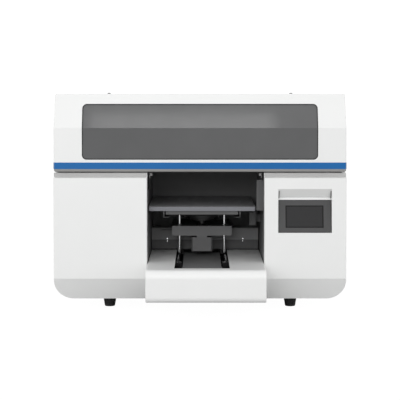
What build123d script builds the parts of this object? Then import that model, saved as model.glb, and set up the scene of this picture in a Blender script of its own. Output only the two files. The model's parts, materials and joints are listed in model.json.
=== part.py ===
from build123d import *
import math
import os

# A3 flatbed UV printer. +X is to the right, the front faces -Y, +Z is up, and the origin is on the
# floor under the middle of the whole machine. All sizes are millimetres.

# Driving dimensions of the casing
BODY_W = 880.0  # over both housings
BODY_D = 640.0  # front face to rear edge
TRAY_REACH = 186.0  # the tray stands this far out of the front
BODY_Z = 37.5  # underside of the housings
UNDERCUT_Z = 103.0  # the front face starts above this slanted undercut
UNDERCUT_D = 36.0
SHOULDER_Z = 406.0  # top of the front face
RIM_Z = 421.0  # top rim of the housings
RIM_BACK = 12.0  # above the shoulder, the front steps back by this
CORNER_R = 57.0  # lower outer corners
SHEET = 2.0  # painted sheet metal
LID_Z = 424.0  # lower edge of the lid
CREASE_Z = 556.0  # the lid's front leans back above this
LID_TOP_Z = 658.0
LID_LEAN = 36.0  # how far the front leans back

# Driving dimensions of the cavity, the tray and the bed drive
CAVITY_L = -159.0
CAVITY_R = 193.0
CAVITY_D = 480.0
MECH_X = 6.0  # middle of the bed and its drive
TRAY_Z = 151.0  # top of the tray
TRAY_LOW_Z = 57.5
TRAY_BACK = 336.0  # depth at which the tray ends inside
SLOT_W = 162.0
SHAFT_Z = 136.0  # Y guide shafts
SHAFT_GAUGE = 75.0  # each shaft from the middle of the drive
SHAFT_D = 12.0
BED_W = 325.0
BED_L = 420.0
BED_TOP_Z = 315.0
BED_T = 12.7
BED_DEPTH = 52.0  # bed's front edge behind the front face, at rest

# Driving dimensions of the gantry and the lid's hinge
BEAM_DEPTH = 205.0
BEAM_SIZE = 60.0
BEAM_Z = 432.0
HEADS_Z = 373.0  # lowest face of the print heads
PARK_X = 300.0  # print carriage at rest
HINGE_R = 6.5
HINGE_Z = 430.0
HINGE_X = 300.0
FOOT_X = 280.0

FRONT = -(BODY_D + TRAY_REACH) / 2 + TRAY_REACH
REAR = FRONT + BODY_D
HINGE_Y = REAR - 8.0
PAN_Z = BODY_Z + 2 * SHEET  # upper face of the base pan
TUBE = 30.0  # square tube of the chassis
DECK_Z = PAN_Z + TUBE + 6.0  # upper face of the deck plate
DECK_T = 6.0

os.makedirs("parts", exist_ok=True)


def depth(distance):
    """Y of a point this far behind the housings' front face."""
    return FRONT + distance


def block(x0, x1, y0, y1, z0, z1, mode=Mode.ADD):
    """A block between two corners."""
    with Locations(((x0 + x1) / 2, (y0 + y1) / 2, (z0 + z1) / 2)):
        Box(x1 - x0, y1 - y0, z1 - z0, mode=mode)


def rod(axis, place, radius, start, end, mode=Mode.ADD):
    """A round bar along X, Y or Z from start to end; place gives its other two coordinates."""
    middle, a, b = (start + end) / 2, place[0], place[1]
    centre = {"X": (middle, a, b), "Y": (a, middle, b), "Z": (a, b, middle)}[axis]
    turn = {"X": (0, 90, 0), "Y": (90, 0, 0), "Z": (0, 0, 0)}[axis]
    with Locations(Location(centre, turn)):
        Cylinder(radius, end - start, mode=mode)


def save(piece, name):
    """Label a finished piece and write its STEP file."""
    piece.part.label = name
    export_step(piece.part, f"parts/{name}.step")


# ---------------------------------------------------------------- casing

def housing_form(low_x, high_x, outer_side, inset):
    """Closed outer form of one lower housing, shrunk by inset."""
    with BuildPart() as form:
        with BuildSketch(Plane.YZ.offset(low_x)):
            with BuildLine():
                Polyline(
                    (FRONT, SHOULDER_Z),
                    (FRONT + RIM_BACK, SHOULDER_Z + SHEET),
                    (FRONT + RIM_BACK, RIM_Z),
                    (REAR, RIM_Z),
                    (REAR, BODY_Z),
                    (FRONT + UNDERCUT_D, BODY_Z),
                    (FRONT, UNDERCUT_Z),
                    close=True,
                )
            make_face()
            if inset:
                offset(amount=-inset, kind=Kind.INTERSECTION)
        extrude(amount=high_x - low_x)
        with BuildSketch(Plane.XZ.offset(-FRONT)) as outline:
            with Locations(((low_x + high_x) / 2, (BODY_Z + inset + RIM_Z) / 2)):
                Rectangle(high_x - low_x, RIM_Z - BODY_Z - inset)
            lower = outline.vertices().group_by(Axis.Y)[0].sort_by(Axis.X)
            fillet(lower[-1] if outer_side > 0 else lower[0], CORNER_R - inset)
        extrude(amount=-BODY_D, mode=Mode.INTERSECT)
        if not inset:
            faces = form.faces().sort_by(Axis.Y)[0]
            upright = faces.edges().filter_by(Axis.Z)
            fillet(upright, 3.0)
    return form.part


def cut_housing(low_x, high_x, outer_side):
    """Hollow a housing: open top inside the rim, open rear, and open to the cavity."""
    add(housing_form(low_x + SHEET, high_x - SHEET, outer_side, SHEET), mode=Mode.SUBTRACT)
    flange = 8.0
    inner_x = low_x if outer_side > 0 else high_x
    outer_x = high_x - SHEET - flange if outer_side > 0 else low_x + SHEET + flange
    x0, x1 = min(inner_x, outer_x), max(inner_x, outer_x)
    block(x0, x1, depth(25), REAR - flange, RIM_Z - 3 * SHEET, RIM_Z + 1, mode=Mode.SUBTRACT)
    y0, y1 = REAR - 2 * SHEET, REAR + 1
    block(x0, x1, y0, y1, BODY_Z + 12, RIM_Z - 10, mode=Mode.SUBTRACT)
    wall = 2 * SHEET
    side = (low_x - 1, low_x + wall) if outer_side > 0 else (high_x - wall, high_x + 1)
    block(*side, depth(25), REAR - SHEET, BODY_Z + SHEET, RIM_Z + 1, mode=Mode.SUBTRACT)


# Sunk pocket for the touch panel: its lower edge is flush, its upper edge stands back.
HMI_X0, HMI_X1 = 235.0, 396.0
HMI_LOW_Z, HMI_HIGH_Z = 241.0, 373.0
HMI_TOP_Z = 344.0
HMI_SINK = 18.0

# The touch panel leans back: its plane starts at the pocket's lower edge.
HMI_MIDDLE = (HMI_X0 + HMI_X1) / 2
HMI_H = math.hypot(HMI_SINK, HMI_TOP_Z - HMI_LOW_Z)
lean = math.atan2(HMI_SINK, HMI_TOP_Z - HMI_LOW_Z)
hmi_plane = Plane(
    origin=(HMI_MIDDLE, FRONT, HMI_LOW_Z),
    x_dir=(1, 0, 0),
    z_dir=(0, -math.cos(lean), math.sin(lean)),
)
BEZEL_W = 158.0
BEZEL_T = 4.0
SCREEN_W, SCREEN_H = 114.0, 67.0
SCREEN_X, SCREEN_Y = -1.0, 49.0  # screen centre from the panel's lower middle
LEDGE_H = 5.0  # painted ledge between the bezel and the pocket's ceiling

with BuildPart() as left_housing:
    add(housing_form(-BODY_W / 2, CAVITY_L, -1, 0))
    cut_housing(-BODY_W / 2, CAVITY_L, -1)
save(left_housing, "left_housing")

with BuildPart() as right_housing:
    add(housing_form(CAVITY_R, BODY_W / 2, 1, 0))
    cut_housing(CAVITY_R, BODY_W / 2, 1)
    block(HMI_X0, HMI_X1, FRONT - 1, depth(8), HMI_LOW_Z, HMI_HIGH_Z, mode=Mode.SUBTRACT)
    for x in (HMI_X0 - SHEET, HMI_X1):
        with BuildSketch(Plane.YZ.offset(x)):
            with BuildLine():
                Polyline(
                    (FRONT, HMI_LOW_Z - SHEET),
                    (FRONT, HMI_HIGH_Z + SHEET),
                    (depth(HMI_SINK + 8), HMI_TOP_Z + 3),
                    (depth(HMI_SINK + 8), HMI_TOP_Z - 20),
                    (depth(8), HMI_LOW_Z - SHEET),
                    close=True,
                )
            make_face()
        extrude(amount=SHEET)
    with BuildSketch(Plane.YZ.offset(HMI_X0)):
        with BuildLine():
            Polyline(
                (FRONT, HMI_HIGH_Z),
                (FRONT, HMI_HIGH_Z + SHEET),
                (depth(HMI_SINK + 8), HMI_TOP_Z + 7),
                (depth(HMI_SINK + 8), HMI_TOP_Z + 3),
                (depth(HMI_SINK + 2), HMI_TOP_Z + 3),
                close=True,
            )
        make_face()
    extrude(amount=HMI_X1 - HMI_X0)
    with BuildSketch(hmi_plane.offset(-BEZEL_T)):
        with Locations((0, HMI_H - LEDGE_H / 2 + 1.5)):
            Rectangle(HMI_X1 - HMI_X0, LEDGE_H + 2.4)
    extrude(amount=BEZEL_T - 1)
save(right_housing, "right_housing")

with BuildPart() as hmi_bezel:
    with BuildSketch(hmi_plane.offset(-BEZEL_T - 1)):
        with Locations((0, (HMI_H - LEDGE_H) / 2 + 0.5)):
            RectangleRounded(BEZEL_W, HMI_H - LEDGE_H - 1, 4.5)
        with Locations((SCREEN_X, SCREEN_Y)):
            Rectangle(SCREEN_W + 0.6, SCREEN_H + 0.6, mode=Mode.SUBTRACT)
    extrude(amount=BEZEL_T)
    fillet(hmi_bezel.faces().sort_by(Axis.Y)[0].outer_wire().edges(), 1.2)
    with BuildSketch(hmi_plane.offset(-BEZEL_T - 1)):
        with Locations((0, HMI_H / 2 - 3)):
            Rectangle(BEZEL_W - 6, HMI_H - 14)
            Rectangle(BEZEL_W - 12, HMI_H - 20, mode=Mode.SUBTRACT)
    extrude(amount=-22)
    with BuildSketch(hmi_plane.offset(-BEZEL_T - 23)):
        with Locations((0, HMI_H / 2 - 3)):
            Rectangle(BEZEL_W - 6, HMI_H - 14)
    extrude(amount=-2)
save(hmi_bezel, "hmi_bezel")

with BuildPart() as hmi_screen:
    with BuildSketch(hmi_plane.offset(-BEZEL_T - 1)):
        with Locations((SCREEN_X, SCREEN_Y)):
            Rectangle(SCREEN_W, SCREEN_H)
    extrude(amount=BEZEL_T - 1.2)
save(hmi_screen, "hmi_screen")

with BuildPart() as base_pan:
    block(-378, 378, depth(40), REAR - 20, BODY_Z + SHEET, BODY_Z + 2 * SHEET)
    with Locations((0, depth(330), BODY_Z)):
        with GridLocations(60, 70, 9, 5):
            Box(40, 5, 20, mode=Mode.SUBTRACT)
save(base_pan, "base_pan")

FAN_X, FAN_Z, FAN_R = -300.0, 300.0, 56.0
SWITCH_X, INLET_X, INLET_Z = 330.0, 280.0, 100.0
VENT_ROWS = 9

with BuildPart() as rear_panel:
    with BuildSketch(Plane.XZ.offset(-(REAR - 2 * SHEET))) as outline:
        with Locations((0, (PAN_Z + 4 + RIM_Z - 8) / 2)):
            Rectangle(BODY_W - 8, RIM_Z - 12 - PAN_Z)
        fillet(outline.vertices().group_by(Axis.Y)[0], CORNER_R - 7)
    extrude(amount=-SHEET)
    x0, x1 = CAVITY_L + 1, CAVITY_R - 1
    block(x0, x1, REAR - 2 * SHEET, REAR - SHEET, RIM_Z - 10, RIM_Z)
    block(x0, x1, REAR - 18, REAR - SHEET, RIM_Z - SHEET, RIM_Z)
    rod("Y", (FAN_X, FAN_Z), FAN_R, REAR - 10, REAR, mode=Mode.SUBTRACT)
    block(INLET_X - 14, INLET_X + 14, REAR - 9, REAR, INLET_Z - 10, INLET_Z + 10, Mode.SUBTRACT)
    block(SWITCH_X - 10, SWITCH_X + 10, REAR - 9, REAR, INLET_Z - 14, INLET_Z + 14, Mode.SUBTRACT)
    for row in range(VENT_ROWS):
        z = 200 + 12 * row
        for x in (60.0, 180.0, 300.0):
            block(x - 45, x + 45, REAR - 9, REAR, z - 2.5, z + 2.5, mode=Mode.SUBTRACT)
save(rear_panel, "rear_panel")

with BuildPart() as feet:
    for x in (-FOOT_X, FOOT_X):
        for y in (depth(134), depth(520)):
            with Locations((x, y, BODY_Z / 2)):
                Cone(15.5, 22.0, BODY_Z)
    fillet(feet.edges().filter_by(GeomType.CIRCLE).group_by(Axis.Z)[0], 2.5)
save(feet, "feet")

# ---------------------------------------------------------------- frame and cavity

with BuildPart() as chassis_frame:
    for side in (-1, 1):
        x0, x1 = sorted((side * 345.0, side * 375.0))
        block(x0, x1, depth(60), depth(620), PAN_Z, PAN_Z + TUBE)
        block(x0 + 2, x1 - 2, depth(60), depth(620), PAN_Z + 2, PAN_Z + TUBE - 2, Mode.SUBTRACT)
    for start in (70, 215, 520):
        block(-345, 345, depth(start), depth(start + TUBE), PAN_Z, PAN_Z + TUBE)
        y0, y1 = depth(start + 2), depth(start + TUBE - 2)
        block(-343, 343, y0, y1, PAN_Z + 2, PAN_Z + TUBE - 2, mode=Mode.SUBTRACT)
    for side in (-1, 1):
        x0, x1 = sorted((side * 345.0, side * 375.0))
        y0, y1 = depth(BEAM_DEPTH), depth(BEAM_DEPTH + BEAM_SIZE)
        block(x0, x1, y0, y1, PAN_Z + TUBE, BEAM_Z)
        block(x0 + 2, x1 - 2, y0 + 2, y1 - 2, PAN_Z + TUBE + 2, BEAM_Z - 2, mode=Mode.SUBTRACT)
save(chassis_frame, "chassis_frame")

with BuildPart() as deck_plate:
    block(CAVITY_L - 2, CAVITY_R + 2, depth(62), depth(560), DECK_Z - DECK_T, DECK_Z)
save(deck_plate, "deck_plate")

LINER_TOP = 418.0
HEAD_GAP_Z = 362.0  # the liner's sides are cut down here, so that the print heads pass over

with BuildPart() as cavity_liner:
    block(CAVITY_L - SHEET, CAVITY_R + SHEET, depth(64), depth(CAVITY_D + SHEET), DECK_Z, LINER_TOP)
    block(CAVITY_L, CAVITY_R, depth(60), depth(CAVITY_D), DECK_Z - 1, LINER_TOP + 1, Mode.SUBTRACT)
    gap = (CAVITY_L - 5, CAVITY_R + 5, depth(84), depth(214), HEAD_GAP_Z, LINER_TOP + 1)
    block(*gap, mode=Mode.SUBTRACT)
    block(95, 125, depth(470), depth(490), DECK_Z - 1, 135, mode=Mode.SUBTRACT)
    for x in (CAVITY_L - SHEET, CAVITY_R):
        block(x, x + SHEET, depth(27), depth(62), PAN_Z, LINER_TOP)
        block(x, x + SHEET, depth(62), depth(64), DECK_Z, LINER_TOP)
save(cavity_liner, "cavity_liner")

TRAY_GAP = 2.0
TRAY_L, TRAY_R = CAVITY_L + TRAY_GAP, CAVITY_R - TRAY_GAP
SLOT_FRONT = -128.0


def tray_form(inset):
    """The tray's rounded block, shrunk by inset."""
    with BuildPart() as form:
        y0, y1 = depth(-TRAY_REACH) + inset, depth(TRAY_BACK)
        block(TRAY_L + inset, TRAY_R - inset, y0, y1, TRAY_LOW_Z + inset, TRAY_Z - inset)
        front = form.faces().sort_by(Axis.Y)[0].edges().filter_by(Axis.X).sort_by(Axis.Z)
        fillet(front[-1], 24.0 - inset)
        fillet(form.faces().sort_by(Axis.Y)[0].edges().sort_by(Axis.Z)[0], 16.0 - inset)
        if not inset:
            for end in (0, -1):
                fillet(form.faces().sort_by(Axis.X)[end].edges().filter_by(
                    lambda edge: edge.center().Y < depth(TRAY_BACK - 1)
                    and edge.center().Z > TRAY_LOW_Z + 1), 2.0)
    return form.part


with BuildPart() as front_tray:
    add(tray_form(0))
    add(tray_form(SHEET), mode=Mode.SUBTRACT)
    block(TRAY_L - 1, TRAY_R + 1, depth(60), depth(TRAY_BACK + 1), 0, DECK_Z, mode=Mode.SUBTRACT)
    block(TRAY_L + SHEET, TRAY_R - SHEET, depth(TRAY_BACK - 5), depth(TRAY_BACK + 1),
          DECK_Z, TRAY_Z - SHEET, mode=Mode.SUBTRACT)
    block(MECH_X - SLOT_W / 2, MECH_X + SLOT_W / 2, depth(SLOT_FRONT), depth(TRAY_BACK + 1),
          TRAY_Z - 3, TRAY_Z + 1, mode=Mode.SUBTRACT)
save(front_tray, "front_tray")

SLOT_FLOOR_Z = 142.0
FLOOR_HALF_W = 58.0

with BuildPart() as slot_floor:
    x0, x1 = MECH_X - FLOOR_HALF_W, MECH_X + FLOOR_HALF_W
    block(x0, x1, depth(SLOT_FRONT + 4), depth(TRAY_BACK), SLOT_FLOOR_Z - SHEET, SLOT_FLOOR_Z)
    for x in (x0, x1 - SHEET):
        block(x, x + SHEET, depth(62), depth(TRAY_BACK), DECK_Z, SLOT_FLOOR_Z)
save(slot_floor, "slot_floor")

with BuildPart() as cavity_brackets:
    block(171.6, 190.5, depth(50), depth(53), 304, 397)
    block(190.5, CAVITY_R, depth(50), depth(75), 304, 397)
    fillet(cavity_brackets.edges().filter_by(Axis.Y).sort_by(Axis.X)[:2], 3)
    block(157, 177.5, depth(240), depth(243), 241, 281)
    block(174.5, 177.5, depth(243), depth(262), 241, 281)
    block(177.5, CAVITY_R, depth(259), depth(262), 250, 272)
save(cavity_brackets, "cavity_brackets")

# ---------------------------------------------------------------- bed drive

SHAFTS = (MECH_X - SHAFT_GAUGE, MECH_X + SHAFT_GAUGE)
SHAFT_START, SHAFT_END = 66.0, 478.0
SLIDE_FIT = 0.05  # running clearance on the radius
BLOCK_FRONT, BLOCK_BACK = 430.0, 462.0
PULLEY_R = 10.0
BELT_T, BELT_W = 1.4, 6.0
Y_BELT_X, Y_BELT_Z = 107.0, 110.0
Y_IDLER_D, Y_DRIVE_D = 84.0, 512.0

with BuildPart() as y_guide_shafts:
    for x in SHAFTS:
        rod("Y", (x, SHAFT_Z), SHAFT_D / 2, depth(SHAFT_START), depth(SHAFT_END))
    chamfer(y_guide_shafts.edges().filter_by(GeomType.CIRCLE), 0.8)
save(y_guide_shafts, "y_guide_shafts")

with BuildPart() as shaft_supports:
    for x in SHAFTS:
        for start in (SHAFT_START + 2, SHAFT_END - 14):
            block(x - 13, x + 13, depth(start), depth(start + 12), DECK_Z, SHAFT_Z + 8)
            rod("Y", (x, SHAFT_Z), SHAFT_D / 2, depth(start - 1), depth(start + 13), Mode.SUBTRACT)
save(shaft_supports, "shaft_supports")


def belt_loop(plane, centre, spread, width):
    """A toothed belt's loop round two pulleys, spread apart along the plane's x."""
    with BuildPart() as loop:
        with BuildSketch(plane):
            with Locations(centre):
                SlotCenterToCenter(spread, 2 * (PULLEY_R + 0.3 + BELT_T))
                SlotCenterToCenter(spread, 2 * (PULLEY_R + 0.3), mode=Mode.SUBTRACT)
        extrude(amount=width / 2, both=True)
    return loop.part


def pulley(axis, place, middle):
    """A flanged belt pulley on its axis."""
    with BuildPart() as wheel:
        rod(axis, place, PULLEY_R, middle - BELT_W / 2 - 0.5, middle + BELT_W / 2 + 0.5)
        for side in (-1, 1):
            near = middle + side * (BELT_W / 2 + 0.5)
            far = near + side * 1.2
            rod(axis, place, PULLEY_R + 2.5, min(near, far), max(near, far))
        rod(axis, place, 3.0, middle - 20, middle + 20, mode=Mode.SUBTRACT)
    return wheel.part


y_middle = (Y_IDLER_D + Y_DRIVE_D) / 2
with BuildPart() as y_belt:
    centre = (depth(y_middle), Y_BELT_Z)
    add(belt_loop(Plane.YZ.offset(Y_BELT_X), centre, Y_DRIVE_D - Y_IDLER_D, BELT_W))
save(y_belt, "y_belt")

with BuildPart() as y_drive_pulley:
    add(pulley("X", (depth(Y_DRIVE_D), Y_BELT_Z), Y_BELT_X))
    rod("X", (depth(Y_DRIVE_D), Y_BELT_Z), 3.0, Y_BELT_X - 4, 124)
save(y_drive_pulley, "y_drive_pulley")

with BuildPart() as y_idler_pulley:
    add(pulley("X", (depth(Y_IDLER_D), Y_BELT_Z), Y_BELT_X))
save(y_idler_pulley, "y_idler_pulley")


def motor(axis, place, face, length, size):
    """A square stepper motor whose front face stands at face, behind which its case extends."""
    with BuildPart() as body:
        start, end = sorted((face, face + length))
        centre = {
            "X": ((start + end) / 2, place[0], place[1]),
            "Y": (place[0], (start + end) / 2, place[1]),
            "Z": (place[0], place[1], (start + end) / 2),
        }[axis]
        sides = {"X": (end - start, size, size), "Y": (size, end - start, size)}
        with Locations(centre):
            Box(*sides.get(axis, (size, size, end - start)))
        chamfer(body.edges().filter_by({"X": Axis.X, "Y": Axis.Y, "Z": Axis.Z}[axis]), 4.0)
    return body.part


with BuildPart() as y_motor:
    add(motor("X", (depth(Y_DRIVE_D), Y_BELT_Z), 124.5, 40.0, 42.0))
    y0, y1 = depth(Y_DRIVE_D - 21), depth(Y_DRIVE_D + 21)
    block(121.5, 124.5, y0, y1, DECK_Z, Y_BELT_Z + 21)
    block(124.5, 160, y0, y1, DECK_Z, DECK_Z + 3)
    rod("X", (depth(Y_DRIVE_D), Y_BELT_Z), 8.0, 120, 135, mode=Mode.SUBTRACT)
save(y_motor, "y_motor")

# ---------------------------------------------------------------- Y carriage with the lift

RODS = (MECH_X - 72.0, MECH_X + 72.0)
ROD_R = 5.0
ROD_D = 295.0
ROD_LOW_Z = 145.5
BUSH_R = 7.5
SCREW_D = 276.0
SCREW_R = 6.0
PLATFORM_Z = 237.4
PLATFORM_HALF_W = 95.0
PLATFORM_FRONT, PLATFORM_BACK = 240.0, 462.0
LEG_T = 12.0
SHIELD_D = 341.0
SHIELD_BAND_Z = 183.0  # the shield's upper band stands forward above this
SHIELD_STEP = 10.0
MOTOR_TOP_Z = 201.0

with BuildPart() as bearing_blocks:
    for x in SHAFTS:
        block(x - 14, x + 14, depth(BLOCK_FRONT), depth(BLOCK_BACK), SHAFT_Z - 12.5, SHAFT_Z + 12.5)
        rod("Y", (x, SHAFT_Z), SHAFT_D / 2 + SLIDE_FIT, depth(BLOCK_FRONT - 1),
            depth(BLOCK_BACK + 1), Mode.SUBTRACT)
    x0, x1 = SHAFTS[1] + 14, Y_BELT_X + BELT_W / 2 + 4
    belt_top = Y_BELT_Z + PULLEY_R + 0.3
    block(x0, x1, depth(BLOCK_BACK - 20), depth(BLOCK_BACK), belt_top - 5, belt_top + 8)
    block(Y_BELT_X - BELT_W / 2 - 0.6, x1 + 1, depth(BLOCK_BACK - 21), depth(BLOCK_BACK + 1),
          belt_top - 0.5, belt_top + BELT_T + 0.5, mode=Mode.SUBTRACT)
save(bearing_blocks, "bearing_blocks")

with BuildPart() as carriage_legs:
    for x in SHAFTS:
        x0, x1 = x - LEG_T / 2, x + LEG_T / 2
        block(x0, x1, depth(SHIELD_D + 2), depth(BLOCK_BACK), SHAFT_Z + 12.5 + 4, PLATFORM_Z - 3.4)
        block(x0, x1, depth(BLOCK_FRONT), depth(BLOCK_BACK), SHAFT_Z + 12.5, SHAFT_Z + 16.5)
        rod("X", (depth(395), 195), 16, x0 - 1, x1 + 1, mode=Mode.SUBTRACT)
save(carriage_legs, "carriage_legs")

with BuildPart() as lift_platform:
    x0, x1 = MECH_X - PLATFORM_HALF_W, MECH_X + PLATFORM_HALF_W
    y0, y1 = depth(PLATFORM_FRONT), depth(PLATFORM_BACK)
    block(x0, x1, y0, y1, PLATFORM_Z - 3.4, PLATFORM_Z)
    block(x0, x1, y0, y0 + 3, 206.8, PLATFORM_Z)
    corners = lift_platform.edges().filter_by(Axis.Y).group_by(Axis.Z)[0]
    fillet(corners, 4.0)
    block(MECH_X - 16.5, MECH_X + 16.5, y0, y0 + 3, MOTOR_TOP_Z - 1, 210)
    for x in RODS:
        rod("Z", (x, depth(ROD_D)), BUSH_R, PLATFORM_Z - 10, PLATFORM_Z + 1, mode=Mode.SUBTRACT)
    rod("Z", (MECH_X, depth(SCREW_D)), 12.0, PLATFORM_Z - 10, PLATFORM_Z + 1, mode=Mode.SUBTRACT)
save(lift_platform, "lift_platform")

with BuildPart() as flanged_bushes:
    for x in RODS:
        place = (x, depth(ROD_D))
        rod("Z", place, BUSH_R, PLATFORM_Z - 18, PLATFORM_Z)
        rod("Z", place, BUSH_R + 2.5, PLATFORM_Z, PLATFORM_Z + 3)
        rod("Z", place, ROD_R + SLIDE_FIT, PLATFORM_Z - 19, PLATFORM_Z + 4, mode=Mode.SUBTRACT)
    chamfer(flanged_bushes.edges().filter_by(GeomType.CIRCLE).group_by(Axis.Z)[-1], 0.4)
save(flanged_bushes, "flanged_bushes")

with BuildPart() as back_shield:
    x0, x1 = TRAY_L, TRAY_R - 2
    near, far = depth(SHIELD_D - SHIELD_STEP), depth(SHIELD_D + SHEET)
    block(x0, x1, depth(SHIELD_D), far, TRAY_Z + 2, SHIELD_BAND_Z)
    block(x0, x1, near, far, SHIELD_BAND_Z, SHIELD_BAND_Z + SHEET)
    block(x0, x1, near, near + SHEET, SHIELD_BAND_Z, 222)
    block(x0, x1, near, far, 220, 222)
    block(-125, -88, near - 1, near + 3, 214.5, 217.5, mode=Mode.SUBTRACT)
save(back_shield, "back_shield")

with BuildPart() as shield_studs:
    for x in (-106.0, 139.0):
        rod("Y", (x, 188), 2.6, depth(SHIELD_D - SHIELD_STEP - 6), depth(SHIELD_D - SHIELD_STEP))
        rod("Y", (x, 179), 1.6, depth(SHIELD_D - 2), depth(SHIELD_D))
    chamfer(shield_studs.edges().filter_by(GeomType.CIRCLE).group_by(Axis.Y)[0], 0.5)
save(shield_studs, "shield_studs")

with BuildPart() as z_motor:
    add(motor("Z", (MECH_X, depth(SCREW_D)), MOTOR_TOP_Z, -44.0, 66.0))
    rod("Z", (MECH_X, depth(SCREW_D)), 17.0, MOTOR_TOP_Z, PLATFORM_Z - 3.4)
    rod("Z", (MECH_X, depth(SCREW_D)), 11.0, MOTOR_TOP_Z - 20, PLATFORM_Z, mode=Mode.SUBTRACT)
save(z_motor, "z_motor")

with BuildPart() as lead_screw:
    place = (MECH_X, depth(SCREW_D))
    rod("Z", place, SCREW_R, MOTOR_TOP_Z - 18, 298)
    rod("Z", place, 10.0, MOTOR_TOP_Z - 18, MOTOR_TOP_Z + 8)
    chamfer(lead_screw.edges().filter_by(GeomType.CIRCLE).group_by(Axis.Z)[-1], 1.0)
save(lead_screw, "lead_screw")

# ---------------------------------------------------------------- bed

BED_X0, BED_X1 = MECH_X - BED_W / 2, MECH_X + BED_W / 2
BED_LOW_Z = BED_TOP_Z - BED_T
CHANNEL_Z = 289.4
CHANNEL_HALF_W = 110.0
FLANGE_Z = 263.0
JIG_PITCH = 50.0
JIG_HOLE_R = 2.1

with BuildPart() as print_bed:
    block(BED_X0, BED_X1, depth(BED_DEPTH), depth(BED_DEPTH + BED_L), BED_LOW_Z, BED_TOP_Z)
    fillet(print_bed.edges().filter_by(Axis.Z), 3.0)
    chamfer(print_bed.faces().sort_by(Axis.Z)[-1].outer_wire().edges(), 0.8)
    with Locations((MECH_X, depth(BED_DEPTH + BED_L / 2), BED_TOP_Z)):
        with GridLocations(JIG_PITCH, JIG_PITCH, 6, 8):
            Cylinder(JIG_HOLE_R, 16.0, mode=Mode.SUBTRACT)
save(print_bed, "print_bed")

with BuildPart() as bed_channel:
    x0, x1 = MECH_X - CHANNEL_HALF_W, MECH_X + CHANNEL_HALF_W
    y0, y1 = depth(BED_DEPTH + 10), depth(BED_DEPTH + BED_L - 10)
    block(x0, x1, y0, y1, CHANNEL_Z, BED_LOW_Z)
    block(x0 + 4, x1 - 4, y0 + 4, y1 - 4, CHANNEL_Z + 3, BED_LOW_Z + 1, mode=Mode.SUBTRACT)
    rod("Z", (MECH_X, depth(SCREW_D)), 14.0, CHANNEL_Z - 1, CHANNEL_Z + 4, mode=Mode.SUBTRACT)
    for side in (-1, 1):
        edge = MECH_X + side * CHANNEL_HALF_W
        x0, x1 = sorted((edge + side * 4.5, edge + side * 7.5))
        block(x0, x1, depth(BED_DEPTH + 6), depth(BED_DEPTH + BED_L - 10), 281.5, BED_LOW_Z)
        x0, x1 = sorted((edge + side * 7.5, edge - side * 9))
        block(x0, x1, depth(BED_DEPTH + 6), depth(BED_DEPTH + BED_L - 10), 281.5, 284)
save(bed_channel, "bed_channel")

with BuildPart() as lift_flange:
    place = (MECH_X, depth(SCREW_D))
    rod("Z", place, 55.0, FLANGE_Z, FLANGE_Z + 10)
    chamfer(lift_flange.edges().filter_by(GeomType.CIRCLE), 1.0)
    rod("Z", place, 30.0, FLANGE_Z + 10, CHANNEL_Z)
    rod("Z", place, 38.0, FLANGE_Z - 8, FLANGE_Z)
    rod("Z", place, 11.0, FLANGE_Z - 20, FLANGE_Z - 8)
    rod("Z", place, SCREW_R + SLIDE_FIT, FLANGE_Z - 21, CHANNEL_Z + 1, mode=Mode.SUBTRACT)
save(lift_flange, "lift_flange")

with BuildPart() as guide_rods:
    for x in RODS:
        rod("Z", (x, depth(ROD_D)), ROD_R, ROD_LOW_Z, CHANNEL_Z)
    chamfer(guide_rods.edges().filter_by(GeomType.CIRCLE).group_by(Axis.Z)[0], 0.8)
save(guide_rods, "guide_rods")

# ---------------------------------------------------------------- gantry

BEAM_HALF_L = 400.0
RAIL_SIZE = 15.0
RAIL_Z = BEAM_Z + 23.0
RAIL_D = BEAM_DEPTH - RAIL_SIZE
X_BELT_Z = 516.0
X_BELT_D = 193.0
X_PULLEYS = (-380.0, 385.0)

with BuildPart() as x_beam:
    middle = (depth(BEAM_DEPTH + BEAM_SIZE / 2), BEAM_Z + BEAM_SIZE / 2)
    with BuildSketch(Plane.YZ.offset(-BEAM_HALF_L)):
        with Locations(middle):
            RectangleRounded(BEAM_SIZE, BEAM_SIZE, 3)
            Rectangle(BEAM_SIZE - 16, BEAM_SIZE - 16, mode=Mode.SUBTRACT)
            with Locations((BEAM_SIZE / 2 - 2.5, 0)):
                Rectangle(5.2, 8, mode=Mode.SUBTRACT)
    extrude(amount=2 * BEAM_HALF_L)
save(x_beam, "x_beam")

with BuildPart() as x_linear_rail:
    block(-370, 390, depth(RAIL_D), depth(BEAM_DEPTH), RAIL_Z, RAIL_Z + RAIL_SIZE)
    for z in (RAIL_Z, RAIL_Z + RAIL_SIZE):
        block(-371, 391, depth(RAIL_D + 5), depth(RAIL_D + 9), z - 1.5, z + 1.5, mode=Mode.SUBTRACT)
save(x_linear_rail, "x_linear_rail")

with BuildPart() as x_belt:
    centre = (sum(X_PULLEYS) / 2, X_BELT_Z)
    spread = X_PULLEYS[1] - X_PULLEYS[0]
    add(belt_loop(Plane.XZ.offset(-depth(X_BELT_D)), centre, spread, BELT_W))
save(x_belt, "x_belt")

with BuildPart() as x_drive_pulley:
    add(pulley("Y", (X_PULLEYS[0], X_BELT_Z), depth(X_BELT_D)))
    rod("Y", (X_PULLEYS[0], X_BELT_Z), 3.0, depth(X_BELT_D - 4), depth(206))
save(x_drive_pulley, "x_drive_pulley")

with BuildPart() as x_idler_pulley:
    add(pulley("Y", (X_PULLEYS[1], X_BELT_Z), depth(X_BELT_D)))
save(x_idler_pulley, "x_idler_pulley")

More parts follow.
